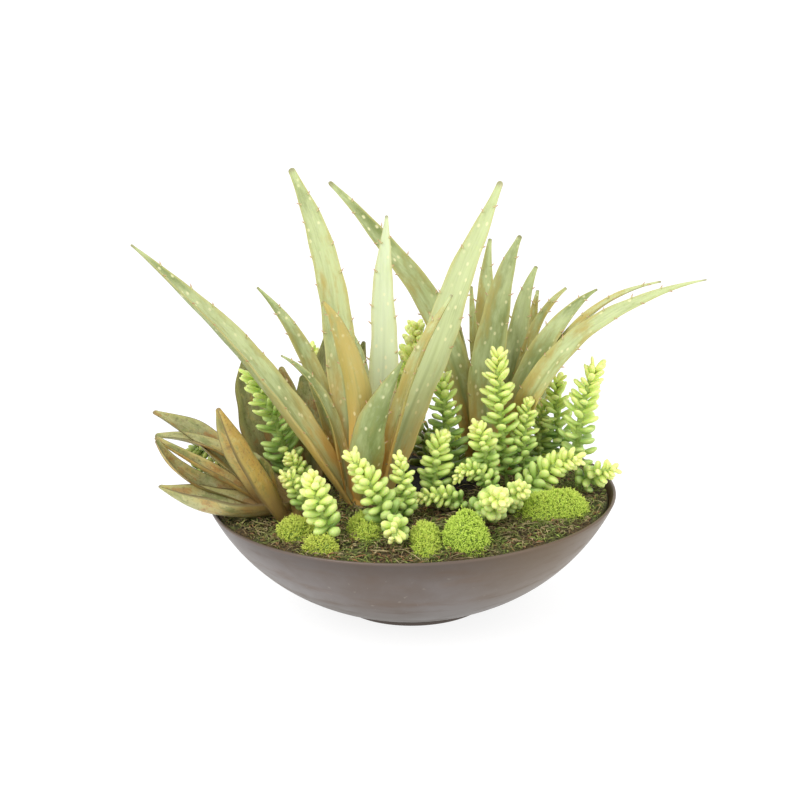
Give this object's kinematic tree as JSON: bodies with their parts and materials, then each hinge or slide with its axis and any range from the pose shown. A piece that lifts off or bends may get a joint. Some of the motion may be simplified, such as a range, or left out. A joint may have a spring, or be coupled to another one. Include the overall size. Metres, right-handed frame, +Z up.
{
  "type": "succulent dish garden",
  "caption": "Wide round-bottomed bowl on a low foot, planted with spiny aloes, broad-leaved agaves and bead-leaved stonecrop among cushions of moss.",
  "frame": {"origin": "middle of the bowl's flat foot, on the surface it stands on", "axes": "+Z up out of the bowl, +X to the right as seen from the front, -Y towards the front"},
  "size_m": [0.532, 0.406, 0.443],
  "materials": {
    "bowl": "satin",
    "soil": "matte",
    "bog_moss": "matte",
    "reindeer_moss": "matte",
    "aloe_leaf": "satin",
    "agave_leaf": "satin",
    "stonecrop": "satin"
  },
  "bodies": {
    "root": {"bowl": "bowl", "soil": "soil", "moss_bed": "bog_moss", "aloe_left": "aloe_leaf", "aloe_right": "aloe_leaf", "agave_left": "agave_leaf", "agave_back": "agave_leaf", "reindeer_moss_01": "reindeer_moss", "reindeer_moss_02": "reindeer_moss", "reindeer_moss_03": "reindeer_moss", "reindeer_moss_04": "reindeer_moss", "reindeer_moss_05": "reindeer_moss", "reindeer_moss_06": "reindeer_moss", "reindeer_moss_07": "reindeer_moss", "reindeer_moss_08": "reindeer_moss", "reindeer_moss_09": "reindeer_moss", "reindeer_moss_10": "reindeer_moss", "stonecrop_01": "stonecrop", "stonecrop_02": "stonecrop", "stonecrop_03": "stonecrop", "stonecrop_04": "stonecrop", "stonecrop_05": "stonecrop", "stonecrop_06": "stonecrop", "stonecrop_07": "stonecrop", "stonecrop_08": "stonecrop", "stonecrop_09": "stonecrop", "stonecrop_10": "stonecrop", "stonecrop_11": "stonecrop", "stonecrop_12": "stonecrop", "stonecrop_13": "stonecrop", "stonecrop_14": "stonecrop", "stonecrop_15": "stonecrop", "stonecrop_16": "stonecrop", "stonecrop_17": "stonecrop", "stonecrop_18": "stonecrop", "stonecrop_19": "stonecrop", "stonecrop_20": "stonecrop", "stonecrop_21": "stonecrop", "stonecrop_22": "stonecrop", "stonecrop_23": "stonecrop", "stonecrop_24": "stonecrop", "stonecrop_25": "stonecrop", "stonecrop_26": "stonecrop", "stonecrop_27": "stonecrop", "stonecrop_28": "stonecrop", "stonecrop_29": "stonecrop", "stonecrop_30": "stonecrop"}
  },
  "joints": []
}
